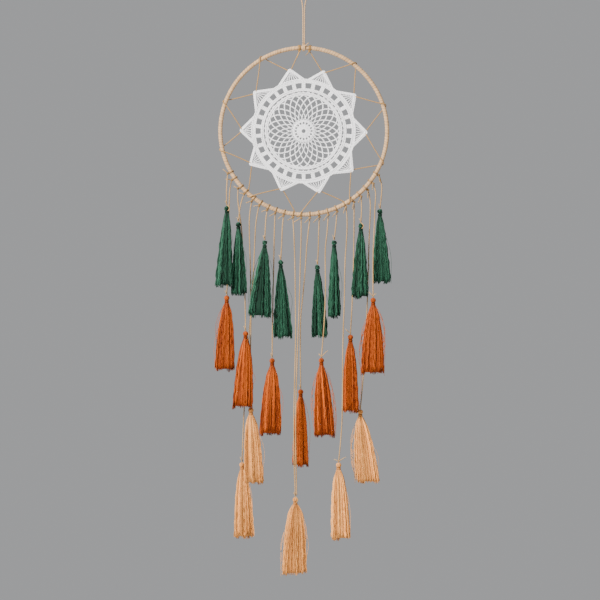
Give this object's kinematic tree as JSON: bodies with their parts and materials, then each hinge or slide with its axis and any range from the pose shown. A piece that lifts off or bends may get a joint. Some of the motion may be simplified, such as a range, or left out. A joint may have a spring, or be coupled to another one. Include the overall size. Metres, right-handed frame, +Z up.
{
  "type": "dream catcher",
  "caption": "Hanging dream catcher: a lace-wrapped hoop with a crocheted star doily laced inside it, and tiers of silky tassels on strings.",
  "frame": {"origin": "the hang point: where the top of the hanging loop bears on its nail or hook", "axes": "+Z up; +X to the right seen from the front; the front faces -Y"},
  "size_m": [0.2086, 0.0397, 0.6934],
  "materials": {
    "ring_steel": "drawn steel wire, hidden by the lace",
    "lace": "flat tan suede-like lace, matt",
    "lacing_thread": "golden-brown waxed twisted thread",
    "string": "tan waxed cotton string",
    "crochet_cotton": "off-white crochet cotton",
    "green_rayon": "dark green silky tassel thread",
    "orange_rayon": "burnt orange silky tassel thread",
    "cream_rayon": "peach cream silky tassel thread"
  },
  "bodies": {
    "hanger": {"hanging_loop": "lace"},
    "hitch": {"hanger_hitch": "lace"},
    "hoop": {"hoop_ring": "ring_steel", "hoop_wrap": "lace", "doily": "crochet_cotton", "web_thread": "lacing_thread", "hoop_knots": "string"},
    "strand_green_l1": {"string_green_l1": "string", "tassel_green_l1": "green_rayon"},
    "strand_orange_l1": {"string_orange_l1": "string", "tassel_orange_l1": "orange_rayon"},
    "strand_orange_l2": {"string_orange_l2": "string", "tassel_orange_l2": "orange_rayon"},
    "strand_green_l2": {"string_green_l2": "string", "tassel_green_l2": "green_rayon"},
    "strand_cream_l1": {"string_cream_l1": "string", "tassel_cream_l1": "cream_rayon"},
    "strand_cream_l2": {"string_cream_l2": "string", "tassel_cream_l2": "cream_rayon"},
    "strand_green_l3": {"string_green_l3": "string", "tassel_green_l3": "green_rayon"},
    "strand_orange_l3": {"string_orange_l3": "string", "tassel_orange_l3": "orange_rayon"},
    "strand_green_l4": {"string_green_l4": "string", "tassel_green_l4": "green_rayon"},
    "strand_cream_centre": {"string_cream_centre": "string", "string_cream_centre_b": "string", "tassel_cream_centre": "cream_rayon"},
    "strand_orange_centre": {"string_orange_centre": "string", "tassel_orange_centre": "orange_rayon"},
    "strand_green_r1": {"string_green_r1": "string", "tassel_green_r1": "green_rayon"},
    "strand_orange_r1": {"string_orange_r1": "string", "tassel_orange_r1": "orange_rayon"},
    "strand_green_r2": {"string_green_r2": "string", "tassel_green_r2": "green_rayon"},
    "strand_cream_r2": {"string_cream_r2": "string", "tassel_cream_r2": "cream_rayon"},
    "strand_orange_r2": {"string_orange_r2": "string", "tassel_orange_r2": "orange_rayon"},
    "strand_green_r3": {"string_green_r3": "string", "tassel_green_r3": "green_rayon"},
    "strand_cream_r1": {"string_cream_r1": "string", "tassel_cream_r1": "cream_rayon"},
    "strand_orange_r3": {"string_orange_r3": "string", "tassel_orange_r3": "orange_rayon"},
    "strand_green_r4": {"string_green_r4": "string", "tassel_green_r4": "green_rayon"}
  },
  "joints": [
    {"name": "loop_twist", "type": "hinge", "parent": "hanger", "child": "hitch", "pos_m": [0, 0, -0.07118], "axis": [0, 0, 1], "range_deg": [-180, 180]},
    {"name": "hoop_tilt", "type": "hinge", "parent": "hitch", "child": "hoop", "pos_m": [0, 0, -0.07645], "axis": [1, 0, 0], "range_deg": [-45, 45]},
    {"name": "green_l1_swing", "type": "hinge", "parent": "hoop", "child": "strand_green_l1", "pos_m": [-0.08895, -0.0016, -0.22371], "axis": [0, 1, 0], "range_deg": [-3, 5]},
    {"name": "orange_l1_swing", "type": "hinge", "parent": "hoop", "child": "strand_orange_l1", "pos_m": [-0.08428, 0.0016, -0.23128], "axis": [0, 1, 0], "range_deg": [-3, 4]},
    {"name": "orange_l2_swing", "type": "hinge", "parent": "hoop", "child": "strand_orange_l2", "pos_m": [-0.07667, 0.00014, -0.24112], "axis": [0, 1, 0], "range_deg": [-1.5, 2.5]},
    {"name": "green_l2_swing", "type": "hinge", "parent": "hoop", "child": "strand_green_l2", "pos_m": [-0.07014, -0.0016, -0.24792], "axis": [0, 1, 0], "range_deg": [-2.5, 4]},
    {"name": "cream_l1_swing", "type": "hinge", "parent": "hoop", "child": "strand_cream_l1", "pos_m": [-0.06076, 0.0016, -0.25581], "axis": [0, 1, 0], "range_deg": [-1.5, 3]},
    {"name": "cream_l2_swing", "type": "hinge", "parent": "hoop", "child": "strand_cream_l2", "pos_m": [-0.05233, 0.0016, -0.26144], "axis": [0, 1, 0], "range_deg": [-3, 1.5]},
    {"name": "green_l3_swing", "type": "hinge", "parent": "hoop", "child": "strand_green_l3", "pos_m": [-0.0429, -0.0016, -0.26643], "axis": [0, 1, 0], "range_deg": [-3, 3]},
    {"name": "orange_l3_swing", "type": "hinge", "parent": "hoop", "child": "strand_orange_l3", "pos_m": [-0.03351, 0.00028, -0.27023], "axis": [0, 1, 0], "range_deg": [-2.5, 2]},
    {"name": "green_l4_swing", "type": "hinge", "parent": "hoop", "child": "strand_green_l4", "pos_m": [-0.02379, -0.00133, -0.27308], "axis": [0, 1, 0], "range_deg": [-2, 2.5]},
    {"name": "cream_centre_swing", "type": "hinge", "parent": "hoop", "child": "strand_cream_centre", "pos_m": [-0.0079, -0.0016, -0.27548], "axis": [-0.997, 0, 0.0776], "range_deg": [0, 12]},
    {"name": "orange_centre_swing", "type": "hinge", "parent": "hoop", "child": "strand_orange_centre", "pos_m": [0.00729, 0.00035, -0.27564], "axis": [0, 1, 0], "range_deg": [-2.5, 2.5]},
    {"name": "green_r1_swing", "type": "hinge", "parent": "hoop", "child": "strand_green_r1", "pos_m": [0.01822, 0.0016, -0.27426], "axis": [0, 1, 0], "range_deg": [-3, 5]},
    {"name": "orange_r1_swing", "type": "hinge", "parent": "hoop", "child": "strand_orange_r1", "pos_m": [0.0286, -0.0016, -0.2718], "axis": [0, 1, 0], "range_deg": [-3, 2.5]},
    {"name": "green_r2_swing", "type": "hinge", "parent": "hoop", "child": "strand_green_r2", "pos_m": [0.039, 0.00024, -0.26814], "axis": [0, 1, 0], "range_deg": [-5, 3]},
    {"name": "cream_r2_swing", "type": "hinge", "parent": "hoop", "child": "strand_cream_r2", "pos_m": [0.0494, -0.0016, -0.26312], "axis": [0, 1, 0], "range_deg": [-3, 3]},
    {"name": "orange_r2_swing", "type": "hinge", "parent": "hoop", "child": "strand_orange_r2", "pos_m": [0.05888, 0.00084, -0.25716], "axis": [0, 1, 0], "range_deg": [-4, 4]},
    {"name": "green_r3_swing", "type": "hinge", "parent": "hoop", "child": "strand_green_r3", "pos_m": [0.06725, -0.00112, -0.25055], "axis": [0, 1, 0], "range_deg": [-4, 3]},
    {"name": "cream_r1_swing", "type": "hinge", "parent": "hoop", "child": "strand_cream_r1", "pos_m": [0.07501, 0.0016, -0.24297], "axis": [0, 1, 0], "range_deg": [-3, 3]},
    {"name": "orange_r3_swing", "type": "hinge", "parent": "hoop", "child": "strand_orange_r3", "pos_m": [0.08127, -0.0016, -0.23547], "axis": [0, 1, 0], "range_deg": [-4, 3]},
    {"name": "green_r4_swing", "type": "hinge", "parent": "hoop", "child": "strand_green_r4", "pos_m": [0.08789, 0.00049, -0.22556], "axis": [0, 1, 0], "range_deg": [-5, 3]}
  ]
}
